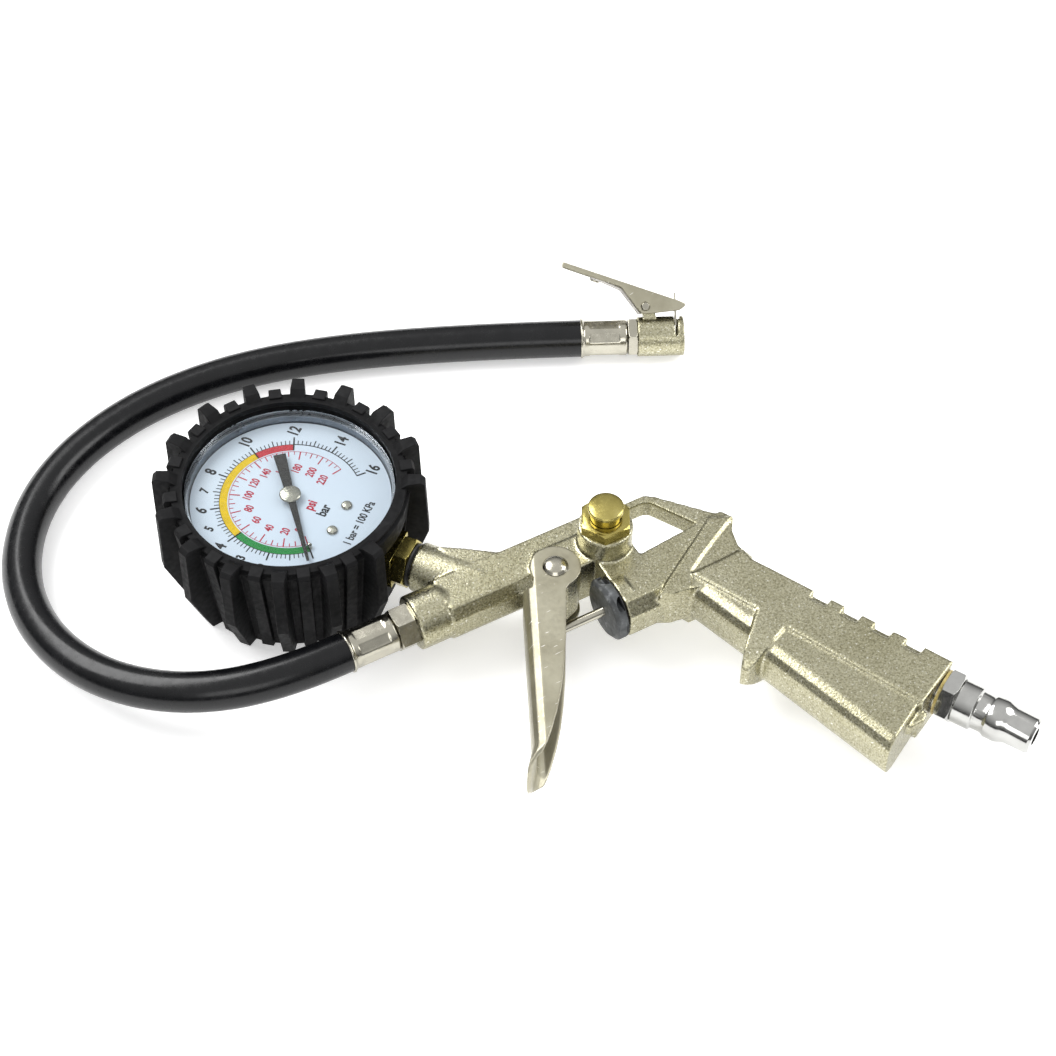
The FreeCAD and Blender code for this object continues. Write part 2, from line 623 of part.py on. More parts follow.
def gauge_stem():
    """Brass socket: a block inside the case, a shank through its wall, flats and a thread."""
    stem = Piece("gauge_stem")
    stem.turn([(2.0, -15.5), (dims.stem_shank, -15.5), (dims.stem_shank, 18.0), (2.0, 18.0)])
    half = dims.stem_flats / 2
    flats = rectangle(-half, -half, half, half)
    stem.pad(flats, 3.6, "XY_Plane", 0)
    stem.pad(rectangle(-6.0, -6.0, 6.0, 6.0), 13.5, "XY_Plane", -16.5)
    stem.groove([(0, -8.0), (2.0, -8.0), (2.0, 18.5), (0, 18.5)])
    on_stem(stem, 31.6)
    keep(stem)

    nut = Piece("gauge_nut")
    nut.pad(hexagon(dims.nut_across), dims.nut_end - dims.nut_start)
    nut.groove([(0, -1.0), (dims.stem_shank + 0.05, -1.0), (dims.stem_shank + 0.05, 6.0), (0, 6.0)])
    bevel = dims.nut_across / 2
    nut.groove([(bevel + 0.1, -0.1), (bevel + 2.0, -0.1), (bevel + 2.0, 1.0)])
    nut.groove([(bevel + 0.1, 4.2), (bevel + 2.0, 3.1), (bevel + 2.0, 4.2)])
    on_stem(nut, dims.nut_start)
    keep(nut)

    seal = Piece("gauge_seal")
    seal.turn([(dims.stem_shank + 0.1, 0), (6.4, 0), (6.8, 0.35), (6.4, 0.75), (6.4, 0.95),
               (6.8, 1.3), (6.4, 1.7), (dims.stem_shank + 0.1, 1.7)])
    on_stem(seal, dims.nut_end)
    keep(seal)


def bourdon_tube():
    """A flattened brass tube, bent almost full circle from the socket to its free tip."""
    bend = dims.tube_bend
    half = dims.tube_wide / 2
    base = 14.0
    top = base + DIMENSIONS["tube_high"]
    band = Part.Face(Part.makePolygon([Vector(float(bend + side), 0, height) for side, height in (
        (-half, base), (half, base), (half, top), (-half, top), (-half, base))]))
    start = 17.6
    band.rotate(Vector(), Vector(0, 0, 1), start)
    tube = band.revolve(Vector(), Vector(0, 0, 1), 360 + DIMENSIONS["link_tip_angle"] - start)
    feature = doc.addObject("Part::Feature", "bourdon_tube")
    feature.Label = "bourdon_tube"
    feature.Shape = tube
    on_gauge(feature)
    return keep(feature)


def gear_outline(radius, teeth, module, first, last):
    """Slim trapezoid teeth on a pitch circle, from one angle to another, as corner points."""
    pitch = 360.0 / teeth
    points = []
    angle = first
    while angle < last - 0.001:
        for share, reach in ((-0.27, -1.1), (-0.11, 0.75), (0.11, 0.75), (0.27, -1.1)):
            turn = math.radians(angle + share * pitch)
            length = radius + reach * module
            points.append((length * math.cos(turn), length * math.sin(turn)))
        angle += pitch
    return points


def movement():
    """Inside the gauge: two plates on posts, the sector gear, its link, and the pointer's pinion."""
    module = DIMENSIONS["gear_module"]
    pinion_radius = module * DIMENSIONS["pinion_teeth"] / 2
    sector_radius = module * DIMENSIONS["sector_teeth"] / 2
    place = math.radians(DIMENSIONS["sector_place"])
    sector_x = (pinion_radius + sector_radius) * math.cos(place)
    sector_y = (pinion_radius + sector_radius) * math.sin(place)
    facing = DIMENSIONS["sector_place"] - 180.0

    plates = Piece("movement_plates")
    outline = [(19.0, -8.6), (19.0, 6.6), (10.0, 11.0), (-14.0, 8.0), (-15.5, 0.0),
               (-12.5, -13.0), (9.0, -14.0)]
    plates.pad(outline, 0.9, "XY_Plane", 24.6)
    plates.pad(outline, 0.9, "XY_Plane", 10.4)
    for post in ((9.0, 8.5), (9.5, -10.5), (-14.0, 3.5)):
        plates.pad(round_outline(1.1, 16, post), 13.9, "XY_Plane", 11.0)
    for place in DIAL_SCREWS:
        plates.pad(round_outline(1.8, 20, place), dims.dial_height - 25.4, "XY_Plane", 25.4)
        plates.pocket(round_outline(0.85, 20, place), 4.5, "XY_Plane", 24.5, False, True)
    for axle in ((0, 0), (sector_x, sector_y)):
        plates.pocket(round_outline(0.86, 24, axle), 24.0, "XY_Plane", 8.0, False, True)
    on_gauge(plates)
    keep(plates)

    sector = Piece("sector_gear")
    arm = DIMENSIONS["link_arm"]
    teeth = gear_outline(sector_radius, DIMENSIONS["sector_teeth"], module, facing - 36.0,
                         facing + 5.0)
    hub = [(2.2 * math.cos(math.radians(turn)), 2.2 * math.sin(math.radians(turn)))
           for turn in (80.0, 110.0)]
    tail_way = DIMENSIONS["link_arm_angle"]
    for reach, turn in ((arm + 1.3, tail_way - 14), (arm + 1.3, tail_way + 14), (2.2, tail_way + 70),
                        (2.2, tail_way + 110), (2.2, tail_way + 150)):
        hub.append((reach * math.cos(math.radians(turn)), reach * math.sin(math.radians(turn))))
    sector.pad(teeth + hub, 1.4, "XY_Plane", 0)
    sector.pad(round_outline(0.8, 24), 15.0, "XY_Plane", -7.9)
    tail = (arm * math.cos(math.radians(tail_way)), arm * math.sin(math.radians(tail_way)))
    sector.pocket(round_outline(0.5, 20, tail), 3.0, "XY_Plane", -1.0, False, True)
    x, y, z = gauge_point(sector_x, sector_y, 18.2)
    move(sector.body, x, y, z, STEM_TURN)
    keep(sector)

    link = Piece("gauge_link")
    tip_way = math.radians(DIMENSIONS["link_tip_angle"])
    tip_reach = float(dims.link_tip_radius - dims.tube_wide / 2 - 1.0)
    from_tail = Vector(tip_reach * math.cos(tip_way) - sector_x - tail[0],
                       tip_reach * math.sin(tip_way) - sector_y - tail[1], 0)
    length = from_tail.Length
    link.pad([(-0.9, -0.55), (-0.55, -0.9), (length, -0.9), (length, 0.9), (-0.55, 0.9),
              (-0.9, 0.55)], 0.8, "XY_Plane", 1.5)
    link.pad(round_outline(0.45, 20), 2.0, "XY_Plane", -0.2)
    x, y, z = gauge_point(sector_x + tail[0], sector_y + tail[1], 18.2)
    move(link.body, x, y, z, STEM_TURN * Rotation(Vector(1, 0, 0), from_tail))
    keep(link)

    shaft = Piece("pointer_shaft")
    pinion = gear_outline(pinion_radius, DIMENSIONS["pinion_teeth"], module, facing + 18.0,
                          facing + 378.0)
    shaft.pad(pinion, 2.2, "XY_Plane", 17.8)
    shaft.turn([(0, 10.6), (0.8, 10.6), (0.8, 31.0), (0, 31.0)])
    on_gauge(shaft)
    keep(shaft)


def pointer():
    """The dark pointer at zero, and the nickel cap that presses it onto its shaft."""
    needle = Piece("pointer")
    needle.pad([(-16.2, -1.9), (-16.2, 1.9), (-3.0, 1.35), (3.0, 1.1), (25.6, 0.4), (25.6, -0.4),
                (3.0, -1.1), (-3.0, -1.35)], 0.45, "XY_Plane", 31.0)
    needle.turn([(0.8, 30.2), (2.2, 30.2), (2.2, 31.45), (0.8, 31.45)])
    needle.groove([(0, 30.0), (0.8, 30.0), (0.8, 32.0), (0, 32.0)])
    turn = Rotation(Vector(0, 0, 1), -104.0 - DIMENSIONS["stem_angle"])
    on_gauge(needle, 0, turn)
    keep(needle)

    cap = Piece("pointer_cap")
    cap.turn([(0, 31.0), (0.8, 31.0), (0.8, 31.45), (3.25, 31.45), (3.25, 31.75), (2.9, 32.1),
              (0, 32.2)])
    on_gauge(cap)
    keep(cap)


# ---------------------------------------------------------------- trigger and air valve

def trigger():
    """A pressed steel channel, open towards the grip, with two ears and a spoon-shaped tip."""
    length = slab("trigger_channel", corners("trigger_section"), 80.0, 0)
    start = heading(DIMENSIONS["spine_angle"]).multVec(Vector(0, 0, -20.0))
    move(length, -22.6 + start.x, -37.8 + start.y, 0, heading(DIMENSIONS["spine_angle"]))
    ear = move(rod("trigger_ear", dims.ear_radius, 24.0), dims.pivot_x, dims.pivot_y, -12.0)
    plan = fuse("trigger_flat", [slab("trigger_plan", corners("trigger_plan"), 12.0), ear])
    blade = common("trigger_blade", length, plan)

    end = slab("trigger_end_channel", corners("trigger_section"), 12.0, 5.0)
    move(end, -46.19, -86.3, 0, heading(DIMENSIONS["tip_angle"]))
    spoon = common("trigger_spoon", end, slab("trigger_tip", corners("trigger_tip"), 12.0))
    width = slab("trigger_width", corners("trigger_width"), 100.0)
    move(width, 0, 0, 0, ALONG_X)
    hole = rod("trigger_hole", dims.rivet_radius + 0.06, 24.0)
    move(hole, dims.pivot_x, dims.pivot_y, -12.0)
    whole = common("trigger_whole", fuse("trigger_solids", [blade, spoon]), width)
    piece = cut("trigger", whole, hole)
    on_gun(piece, 0, 0)
    keep(piece)

    outside = dims.ear_inside + dims.sheet_thick
    rivet = Piece("trigger_rivet")
    profile = [(0, -12.0), (3.0, -11.9), (3.9, -11.4), (3.9, -0.06 - outside),
               (dims.rivet_radius, -0.06 - outside), (dims.rivet_radius, outside + 0.06),
               (3.9, outside + 0.06), (3.0, 11.4), (1.6, 11.95), (0, 12.1)]
    rivet.turn(profile)
    on_gun(rivet, dims.pivot_x, dims.pivot_y)
    keep(rivet)


def air_valve():
    """Gland, seat, stem with its poppet, and the return spring, along the valve tube's axis."""
    gland = Piece("valve_gland")
    bore = dims.pin_radius + 0.05
    start = dims.gland_start
    gland.turn([
        (bore, start), (8.0, start), (dims.gland_radius, start + 1.2), (dims.gland_radius, 0.3),
        (5.9, 0.3), (5.9, 5.0), (5.2, 5.4), (5.2, 9.2), (5.9, 9.6), (5.9, 12.4), (3.9, 12.4),
        (3.9, 3.4), (bore, 3.0),
    ])
    gland.pocket(round_outline(1.7, 20, (7.2, 0)), 14.0, "YZ_Plane", 0, True)
    for turn in (60.0, 180.0, 300.0):
        side = Rotation(Vector(0, 0, 1), turn)
        ends = [side.multVec(Vector(8.8, away, 0)) for away in (-6.0, 6.0)]
        far = [side.multVec(Vector(13.0, away, 0)) for away in (6.0, -6.0)]
        flat = [(point.x, point.y) for point in ends + far]
        gland.pocket(flat, 3.2, "XY_Plane", start, False, True)
    place = (0, dims.valve_y, 0, ALONG_X)
    on_gun(gland, *place)
    keep(gland)

    ring = Piece("gland_seal")
    ring.turn([(6.0, 0.3), (8.6, 0.3), (8.9, 0.5), (8.9, 0.8), (8.6, 1.0), (6.0, 1.0)])
    on_gun(ring, *place)
    keep(ring)

    seat = Piece("valve_seat")
    seat.turn([(3.0, 12.5), (5.9, 12.5), (5.9, 14.6), (3.4, 14.6), (3.0, 14.2)])
    on_gun(seat, *place)
    keep(seat)

    stem = Piece("valve_stem")
    tip = dims.pin_tip
    stem.turn([(0, tip), (0.9, tip + 0.25), (dims.pin_radius, tip + 1.1), (dims.pin_radius, 14.8),
               (4.4, 15.8), (4.4, 17.2), (2.6, 17.6), (2.6, 19.4), (0, 19.4)])
    stem.groove([(4.5, 14.7), (dims.pin_radius, 14.7), (dims.pin_radius, 15.8), (4.5, 15.8)])
    on_gun(stem, *place)
    keep(stem)

    disc = Piece("poppet_seal")
    disc.turn([(dims.pin_radius + 0.02, 14.65), (4.2, 14.65), (4.2, 15.78),
               (dims.pin_radius + 0.02, 15.78)])
    on_gun(disc, *place)
    keep(disc)
    on_gun(coil("valve_spring", 3.7, 0.7, 7.6, 5), 17.65, dims.valve_y, 0, ALONG_X)


def coil(name, radius, wire, length, turns):
    """A helical wire about the Z axis, its first turn's middle at height 0."""
    rise = length - wire
    helix = Part.makeHelix(rise / turns, rise, radius)
    circle = Part.Wire(Part.Circle(Vector(radius, 0, 0), Vector(0, 1, 0), wire / 2).toShape())
    feature = doc.addObject("Part::Feature", name)
    feature.Shape = Part.Wire(helix).makePipeShell([circle], True, True)
    return keep(feature)


# ---------------------------------------------------------------- bleed button

def bleed():
    """Brass bushing with a hexagon, the button in it, its seal and its spring."""
    top = dims.boss_top
    bushing = Piece("bleed_bushing")
    bushing.turn([(1.95, top - 9.5), (4.15, top - 9.5), (4.15, top + 0.5), (1.95, top + 0.5)])
    bushing.pad(hexagon(dims.bleed_hex), 3.5, "XY_Plane", top)
    half = dims.bleed_hex / 2
    bushing.groove([(half, top + 3.6), (half + 2.0, top + 2.5), (half + 2.0, top + 3.6)])
    bushing.groove([(0, top - 10.0), (1.95, top - 10.0), (1.95, top + 4.0), (0, top + 4.0)])
    bushing.groove([(0, top + 1.5), (4.75, top + 1.5), (4.75, top + 4.0), (0, top + 4.0)])
    place = (dims.boss_x, dims.boss_y)
    on_gun(bushing, *place)
    keep(bushing)

    button = Piece("bleed_button")
    button.turn([
        (0, top - 11.6), (1.9, top - 11.6), (1.9, top + 3.0), (4.6, top + 3.0), (4.6, top + 6.9),
        (5.3, top + 6.9), (5.3, top + 8.1), (5.0, top + 8.35), (3.6, top + 8.65), (0, top + 8.8),
    ])
    on_gun(button, *place)
    keep(button)

    seal = Piece("bleed_seal")
    seal.turn([(1.92, top - 10.8), (3.6, top - 10.8), (3.6, top - 9.55), (1.92, top - 9.55)])
    on_gun(seal, *place)
    keep(seal)

    on_gun(coil("bleed_spring", 2.6, 0.6, 9.8, 5), dims.boss_x, dims.boss_y, -4.6)


# ---------------------------------------------------------------- outlet, hose and plug

def hose_tail(name, across, hex_length, thread_radius, thread_length):
    """A hexagon with a thread on one side and a barbed tail for the hose on the other."""
    tail = Piece(name)
    outline = [(1.6, -thread_length), (thread_radius, -thread_length), (thread_radius, 0.2),
               (3.6, 0.2), (3.6, hex_length + 0.6), (dims.hose_bore - 0.1, hex_length + 0.6)]
    end = hex_length + 14.0
    barbs = []
    height = hex_length + 3.0
    while height < end - 1.0:
        barbs.extend([(2.7, height), (dims.hose_bore - 0.02, height), (2.7, height + 2.2)])
        height += 2.8
    outline.extend(barbs)
    outline.extend([(2.5, end), (1.6, end)])
    tail.turn(outline)
    tail.pad(hexagon(across), hex_length)
    bevel = across / 2
    tail.groove([(bevel + 0.1, -0.1), (bevel + 1.6, -0.1), (bevel + 1.6, 0.8)])
    tail.groove([(bevel + 0.1, hex_length + 0.1), (bevel + 1.6, hex_length - 0.8),
                 (bevel + 1.6, hex_length + 0.1)])
    tail.groove([(0, -thread_length - 1.0), (1.6, -thread_length - 1.0), (1.6, end + 1.0),
                 (0, end + 1.0)])
    return tail


def ferrule(name):
    """The crimped sleeve over the hose's end: eight long flats and a small flare at its mouth."""
    sleeve = Piece(name)
    outer = dims.ferrule_radius
    sleeve.turn([(3.7, 0), (outer - 0.5, 0), (outer, 0.5), (outer, 14.0), (dims.flare_radius, 14.6),
                 (dims.flare_radius, 15.2), (5.2, 15.2), (5.1, 14.0), (5.1, 1.0), (3.7, 1.0)])
    flat = sleeve.pocket([(outer - 0.28, 2.6), (outer + 1.0, 2.6), (outer + 1.0, 12.4),
                          (outer - 0.28, 12.4)], 3.2, "XZ_Plane", 0, True)
    sleeve.around(flat, 8, 360)
    return sleeve


def outlet():
    """The barbed outlet fitting in the barrel and the ferrule that holds the hose on it."""
    tail = hose_tail("outlet_fitting", dims.outlet_hex, 6.0, 4.85, 9.5)
    on_gun(tail, dims.collar_start, dims.barrel_y, 0, ALONG_MINUS_X)
    keep(tail)
    sleeve = ferrule("outlet_ferrule")
    on_gun(sleeve, dims.outlet_hex_start - 0.2, dims.barrel_y, 0, ALONG_MINUS_X)
    keep(sleeve)


def rounded_route(points, share):
    """Straight runs joined by tangent arcs, with each arc's radius and turn."""
    edges = []
    turns = []
    here = points[0]
    for before, corner, after in zip(points, points[1:], points[2:]):
        way_in = (corner - before).normalize()
        way_out = (after - corner).normalize()
        half = way_in.getAngle(way_out) / 2
        reach = share * min((corner - before).Length, (after - corner).Length)
        radius = reach / math.tan(half)
        start = corner - way_in * reach
        end = corner + way_out * reach
        inward = (way_out - way_in).normalize()
        middle = corner + inward * (radius / math.cos(half) - radius)
        edges.append(Part.LineSegment(here, start).toShape())
        edges.append(Part.Arc(start, middle, end).toShape())
        turns.append((radius, math.degrees(2 * half)))
        here = end
    edges.append(Part.LineSegment(here, points[-1]).toShape())
    return Part.Wire(edges), turns


def hose():
    """The hose: a tube along its route, narrowed at both ends where the ferrules grip it."""
    points = [Vector(x + DIMENSIONS["datum_x"], y + DIMENSIONS["datum_y"], z)
              for x, y, z in HOSE_ROUTE]
    path, turns = rounded_route(points, RUN_SHARE)
    for radius, angle in turns:
        print("hose turn: radius %.1f mm through %.1f degrees" % (radius, angle))
    outer = DIMENSIONS["hose_radius"]
    bore = DIMENSIONS["hose_bore"]
    way = (points[1] - points[0]).normalize()
    solids = []
    for radius in (outer, bore):
        circle = Part.Wire(Part.Circle(points[0], way, radius).toShape())
        solids.append(path.makePipeShell([circle], True, False))
    tube = solids[0].cut(solids[1])
    expected = math.pi * (outer ** 2 - bore ** 2) * path.Length
    print("hose length %.1f mm, volume %.0f, section x length %.0f"
          % (path.Length, tube.Volume, expected))
    gripped = []
    for end, inner in ((points[0], points[0] - points[1]), (points[-1], points[-1] - points[-2])):
        inner = inner.normalize()
        sleeve = Part.makeCylinder(5.05, 13.8, end, inner)
        gripped.append(sleeve.cut(Part.makeCylinder(bore, 13.8, end, inner)))
    feature = doc.addObject("Part::Feature", "hose")
    feature.Label = "hose"
    feature.Shape = tube.fuse(gripped).removeSplitter()
    return keep(feature)


def air_plug():
    """The quick-connect plug at the grip's end: thread, hexagon, neck, groove and nose."""
    plug = Piece("air_plug")
    plug.turn([
        (2.6, -10.0), (5.9, -10.0), (5.9, 4.6), (6.4, 4.6), (6.6, 4.8), (6.6, 10.1), (6.4, 10.3),
        (5.85, 10.6), (5.85, 13.7), (6.5, 14.8), (6.5, 18.2), (5.5, 21.0), (5.5, 27.4),
        (4.9, 28.2), (2.6, 28.2),
    ])
    plug.pad(hexagon(dims.plug_hex), 4.4)
    bevel = dims.plug_hex / 2
    plug.groove([(bevel + 0.05, 4.5), (bevel + 2.0, 3.3), (bevel + 2.0, 4.5)])
    plug.groove([(bevel + 0.05, -0.1), (bevel + 2.0, -0.1), (bevel + 2.0, 0.7)])
    plug.groove([(0, -11.0), (2.6, -11.0), (2.6, 29.0), (0, 29.0)])
    on_gun(plug, dims.plug_x, dims.plug_y, 0, PLUG_TURN * ALONG_X)
    keep(plug)

    seal = Piece("thread_seal")
    seal.turn([(6.05, -0.9), (7.0, -0.9), (6.8, -0.02), (6.05, -0.02)])
    on_gun(seal, dims.plug_x, dims.plug_y, 0, PLUG_TURN * ALONG_X)
    keep(seal)


# ---------------------------------------------------------------- chuck

def chuck():
    """The hose-end chuck: ferrule, barbed tail, cast body, and the lever that holds the valve."""
    sleeve = ferrule("chuck_ferrule")
    on_chuck(sleeve, -17.7, 0, 0, ALONG_MINUS_X)
    keep(sleeve)

    tail = hose_tail("chuck_tail", Size(11.5), 3.0, 3.4, 4.0)
    on_chuck(tail, -14.5, 0, 0, ALONG_MINUS_X)
    keep(tail)

    shell = rod("chuck_shell", dims.chuck_body, dims.chuck_mouth_end + 14.4)
    move(shell, -14.4, 0, 0, ALONG_X)
    lug = slab("chuck_lug", corners("chuck_lug"), 3.3)
    move(lug, 0, 0, 0, Rotation(Vector(1, 0, 0), 90))
    bores = [
        move(rod("chuck_mouth", dims.chuck_bore, 8.0), -6.2, 0, 0, ALONG_X),
        move(rod("chuck_seal_room", 4.6, 2.9), -9.0, 0, 0, ALONG_X),
        move(rod("chuck_way", 3.45, 6.0), -14.5, 0, 0, ALONG_X),
        move(rod("chuck_pin_hole", 1.27, 10.0), dims.chuck_pin_x, -5.0, dims.chuck_pin_z,
             Rotation(Vector(1, 0, 0), -90)),
        move(block("chuck_slot", 1.0, 14.0, 8.0), -2.45, -7.0, 0),
        move(block("claw_room", 1.9, 6.2, 8.0), -2.45, -3.1, 0),
    ]
    body = cut("chuck_body", fuse("chuck_solids", [shell, lug]), fuse("chuck_hollows", bores))
    on_chuck(body)
    keep(body)

    seal = Piece("chuck_seal")
    seal.turn([(2.4, -8.95), (4.55, -8.95), (4.55, -6.2), (2.9, -6.2), (2.4, -6.8)])
    on_chuck(seal, 0, 0, 0, ALONG_X)
    keep(seal)

    depressor = Piece("chuck_depressor")
    depressor.turn([(0, -10.4), (3.4, -10.4), (3.4, -9.5), (1.2, -9.2), (1.2, -6.6), (0.7, -6.25),
                    (0, -6.25)])
    depressor.pocket(round_outline(0.6, 14, (2.4, 0)), 3.0, "XY_Plane", -11.0, False, True)
    on_chuck(depressor, 0, 0, 0, ALONG_X)
    keep(depressor)

    pin = Piece("chuck_pin")
    pin.turn([(0, -5.2), (1.25, -5.2), (1.25, 5.2), (0, 5.2)])
    on_chuck(pin, dims.chuck_pin_x, 0, dims.chuck_pin_z, Rotation(Vector(1, 0, 0), -90))
    keep(pin)
    chuck_lever()


def chuck_lever():
    """The pressed lever with its cheeks, the claw that bites the valve, and the leaf spring."""
    upright = Rotation(Vector(1, 0, 0), 90)
    plate = move(slab("lever_plate", corners("lever_plate"), 4.6), 0, 0, 0, upright)
    flange = move(slab("lever_flange", corners("lever_flange"), 4.6), 0, 0, 0, upright)
    gap = move(slab("lever_gap", corners("lever_flange"), 3.6), 0, 0, 0, upright)
    hole = move(rod("lever_hole", 1.28, 12.0), dims.chuck_pin_x, -6.0, dims.chuck_pin_z,
                Rotation(Vector(1, 0, 0), -90))
    slot = move(block("lever_slot", 1.0, 3.8, 6.0), -2.4, -1.9, 8.0)
    solids = fuse("lever_solids", [plate, cut("lever_sides", flange, gap)])
    lever = cut("chuck_lever", solids, fuse("lever_cuts", [hole, slot]))
    on_chuck(lever)
    keep(lever)

    blade = bar("jaw_blade", corners("chuck_jaw"), Size(-2.2), Size(-1.6), 0)
    notch = move(rod("jaw_notch", 4.4, 3.0), -3.4, 0, 0, ALONG_X)
    jaw = cut("chuck_jaw", blade, notch)
    on_chuck(jaw)
    keep(jaw)

    leaf = slab("chuck_spring", corners("lever_leaf"), 2.6)
    on_chuck(leaf, 0, 0, 0, upright)
    keep(leaf)

    rivet = Piece("leaf_rivet")
    rivet.turn([(0, -2.1), (1.5, -2.0), (1.9, -1.45), (1.0, -1.45), (1.0, 0.8), (0, 0.8)])
    on_chuck(rivet, -27.3, 0, 20.06, Rotation(Vector(0, 1, 0), 20.0))
    keep(rivet)


# ---------------------------------------------------------------- build, check and write

gun_body()
gauge_boot()
gauge_case()
gauge_face()
gauge_stem()
bourdon_tube()
movement()
pointer()
trigger()
air_valve()
bleed()
outlet()
hose()
air_plug()
chuck()
doc.recompute()

failed = [one.Name for one in doc.Objects if {"Invalid", "Error"} & set(one.State)]
if failed:
    raise RuntimeError("objects that did not compute: %s" % ", ".join(failed))
for node in nodes:
    if node.Shape.isNull() or not node.Shape.isValid():
        raise RuntimeError("%s has no valid shape" % node.Label)
    if not node.Shape.Solids:
        raise RuntimeError("%s has no solid" % node.Label)

os.makedirs("parts", exist_ok=True)
for node in nodes:
    node.Shape.exportStep("parts/%s.step" % node.Label)
print("wrote %d sub-parts" % len(nodes))
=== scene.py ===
import json
import math

import bmesh
import bpy
from mathutils import Matrix, Vector


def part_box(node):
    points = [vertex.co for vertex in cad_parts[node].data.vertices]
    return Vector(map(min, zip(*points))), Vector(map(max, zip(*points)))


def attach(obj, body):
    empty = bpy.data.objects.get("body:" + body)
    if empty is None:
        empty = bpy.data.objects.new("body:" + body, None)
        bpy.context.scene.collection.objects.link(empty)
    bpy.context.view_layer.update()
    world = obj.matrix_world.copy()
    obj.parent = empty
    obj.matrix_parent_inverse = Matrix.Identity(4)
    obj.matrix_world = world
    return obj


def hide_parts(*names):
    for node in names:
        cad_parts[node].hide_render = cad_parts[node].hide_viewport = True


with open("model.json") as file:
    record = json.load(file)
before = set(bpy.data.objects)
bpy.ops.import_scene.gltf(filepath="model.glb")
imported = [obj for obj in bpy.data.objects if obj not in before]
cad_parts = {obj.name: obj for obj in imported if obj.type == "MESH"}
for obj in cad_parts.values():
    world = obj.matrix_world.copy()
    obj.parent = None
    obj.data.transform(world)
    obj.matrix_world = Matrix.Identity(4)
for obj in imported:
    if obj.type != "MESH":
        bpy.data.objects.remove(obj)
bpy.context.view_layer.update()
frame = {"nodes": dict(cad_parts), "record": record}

MM = 0.001
DATUM = Vector((11.16, 43.41, 0.0))    # where the drawing's own origin lies, in millimetres


def place(x, y, z):
    """A point of the drawing, in millimetres, as a point of the shared frame in metres."""
    return (Vector((x, y, z)) + DATUM) * MM


def middle(node):
    """The middle of a CAD node's box."""
    low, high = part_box(node)
    return (Vector(low) + Vector(high)) / 2


# ---------------------------------------------------------------- camera

scene = bpy.context.scene
eye = place(-237.2, -429.8, 606.2)
camera = bpy.data.objects.new("camera", bpy.data.cameras.new("camera"))
scene.collection.objects.link(camera)
camera.location = eye
camera.rotation_euler = (place(0.0, 0.0, 0.0) - eye).to_track_quat("-Z", "Y").to_euler()
camera.data.sensor_width = 36.0
camera.data.lens = 86.15
camera.data.clip_start, camera.data.clip_end = 0.05, 10.0
scene.camera = camera

# ---------------------------------------------------------------- hose

HOSE_RADIUS = 6.0 * MM
HOSE_ROUTE = [
    (-75.3, -27.7, 18.0), (-96.0, -27.7, 18.0), (-121.5, -18.0, 15.8), (-140.5, 1.5, 12.8),
    (-149.0, 27.5, 9.8), (-145.5, 54.5, 7.6), (-130.5, 78.0, 6.4), (-107.5, 93.0, 6.2),
    (-77.0, 99.8, 6.2), (-40.0, 96.0, 6.2), (8.475, 77.445, 6.75), (50.5, 56.4, 6.75),
]


def make_hose():
    curve = bpy.data.curves.new("rubber_hose", "CURVE")
    curve.dimensions = "3D"
    spline = curve.splines.new("NURBS")
    spline.points.add(len(HOSE_ROUTE) - 1)
    for point, at in zip(spline.points, HOSE_ROUTE):
        point.co = (*place(*at), 1.0)
    spline.order_u = 3
    spline.use_endpoint_u = True
    spline.resolution_u = 12
    curve.bevel_depth = HOSE_RADIUS
    curve.bevel_resolution = 8
    curve.use_fill_caps = True
    piece = bpy.data.objects.new("rubber_hose", curve)
    scene.collection.objects.link(piece)
    return piece


hose = make_hose()

# ---------------------------------------------------------------- materials


